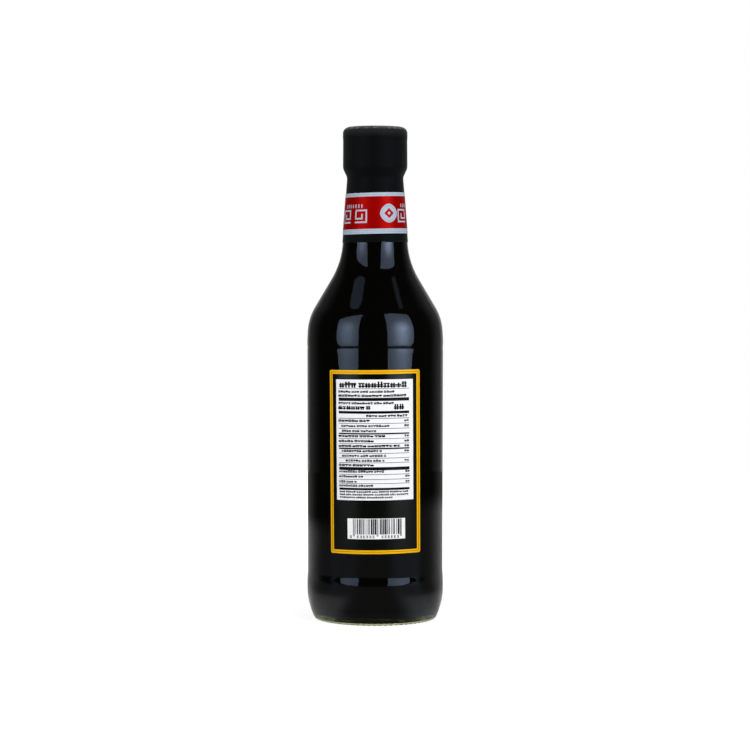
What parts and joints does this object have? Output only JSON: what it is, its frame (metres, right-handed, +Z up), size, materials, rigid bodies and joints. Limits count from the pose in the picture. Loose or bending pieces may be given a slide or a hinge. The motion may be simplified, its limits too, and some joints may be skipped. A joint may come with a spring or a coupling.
{
  "type": "vinegar bottle",
  "caption": "Sealed round glass bottle of dark vinegar with a sloping shoulder, a shrunk black sleeve over cap and neck, a neck band and a framed back label.",
  "frame": {"origin": "middle of the bearing ring, on the surface that the bottle stands on", "axes": "+Z up along the bottle's axis; -Y is the side with the back label; +X is to the right of someone who looks at that label"},
  "size_m": [0.069, 0.0691, 0.249],
  "materials": {
    "glass": "clear glass with a faint green yellow tint",
    "vinegar": "dark brown black liquid",
    "cap": "moulded black plastic",
    "sleeve_film": "matt black shrunk film",
    "neck_label_paper": "red printed paper with pale edges",
    "back_label_paper": "black printed paper with a gold frame and a white panel"
  },
  "bodies": {
    "root": {"glass_bottle": "glass", "vinegar": "vinegar", "closure": "cap", "sleeve": "sleeve_film", "neck_label": "neck_label_paper", "back_label": "back_label_paper"}
  },
  "joints": []
}
